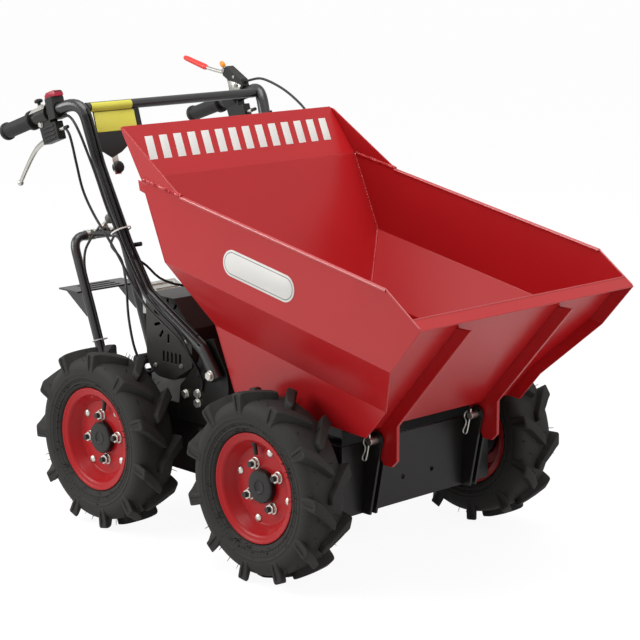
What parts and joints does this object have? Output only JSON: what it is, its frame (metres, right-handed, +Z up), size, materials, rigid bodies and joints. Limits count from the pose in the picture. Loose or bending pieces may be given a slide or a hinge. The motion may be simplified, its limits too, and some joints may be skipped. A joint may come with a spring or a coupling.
{
  "type": "walk-behind site dumper",
  "caption": "Walk-behind site dumper with driven lugged wheels, a folded-sheet skip that tips forward over its front axle, an open engine and tubular handlebars with controls.",
  "frame": {"origin": "on the ground, under the middle of the machine's length and width", "axes": "+X forward to the dumping end, +Y to the machine's left, +Z up"},
  "size_m": [1.3966, 0.7488, 0.994],
  "materials": {
    "tyre": "matt",
    "red_paint": "gloss",
    "black_paint": "satin",
    "zinc": "zinc plated",
    "cast_housing": "painted casting",
    "engine_casting": "cast",
    "dark_sheet": "satin",
    "heat_shield": "satin",
    "black_plastic": "moulded",
    "grip_rubber": "matt",
    "lever_metal": "polished",
    "red_plastic": "dipped",
    "cable_jacket": "satin"
  },
  "bodies": {
    "chassis": {"chassis_sides": "black_paint", "front_plate": "black_paint", "hinge_brackets": "black_paint", "hinge_pins": "zinc", "skip_rest": "black_paint", "engine_bed": "black_paint", "front_axle": "cast_housing", "rear_axle": "cast_housing", "gearbox": "cast_housing", "engine_block": "engine_casting", "fuel_tank": "dark_sheet", "muffler": "heat_shield", "air_cleaner": "black_plastic", "recoil_starter": "dark_sheet", "belt_cover": "dark_sheet", "handlebar_left": "black_paint", "handlebar_right": "black_paint", "crossbar": "black_paint", "handlebar_brackets": "black_paint", "console_plate": "black_paint", "grips": "grip_rubber", "lever_perches": "black_plastic", "hand_lever": "lever_metal", "clutch_lever": "red_plastic", "stop_switch": "black_plastic", "guard_loop": "black_paint", "gear_lever": "black_plastic", "cables": "cable_jacket"},
    "skip": {"skip_side_left": "red_paint", "skip_side_right": "red_paint", "skip_rear": "red_paint", "skip_wings": "red_paint", "skip_front": "red_paint", "skip_floor": "red_paint", "skip_ribs": "red_paint"},
    "wheel_front_left": {"tyre_front_left": "tyre", "rim_front_left": "red_paint", "hub_front_left": "black_paint"},
    "wheel_front_right": {"tyre_front_right": "tyre", "rim_front_right": "red_paint", "hub_front_right": "black_paint"},
    "wheel_rear_left": {"tyre_rear_left": "tyre", "rim_rear_left": "red_paint", "hub_rear_left": "black_paint"},
    "wheel_rear_right": {"tyre_rear_right": "tyre", "rim_rear_right": "red_paint", "hub_rear_right": "black_paint"}
  },
  "joints": [
    {"name": "skip_tip", "type": "hinge", "parent": "chassis", "child": "skip", "pos_m": [0.4267, 0, 0.298], "axis": [0, 1, 0], "range_deg": [0, 65]},
    {"name": "front_left_roll", "type": "hinge", "parent": "chassis", "child": "wheel_front_left", "pos_m": [0.2697, 0.3205, 0.2015], "axis": [0, 1, 0], "continuous": true},
    {"name": "front_right_roll", "type": "hinge", "parent": "chassis", "child": "wheel_front_right", "pos_m": [0.2697, -0.3205, 0.2015], "axis": [0, 1, 0], "continuous": true},
    {"name": "rear_left_roll", "type": "hinge", "parent": "chassis", "child": "wheel_rear_left", "pos_m": [-0.2613, 0.3205, 0.2015], "axis": [0, 1, 0], "continuous": true},
    {"name": "rear_right_roll", "type": "hinge", "parent": "chassis", "child": "wheel_rear_right", "pos_m": [-0.2613, -0.3205, 0.2015], "axis": [0, 1, 0], "continuous": true}
  ]
}
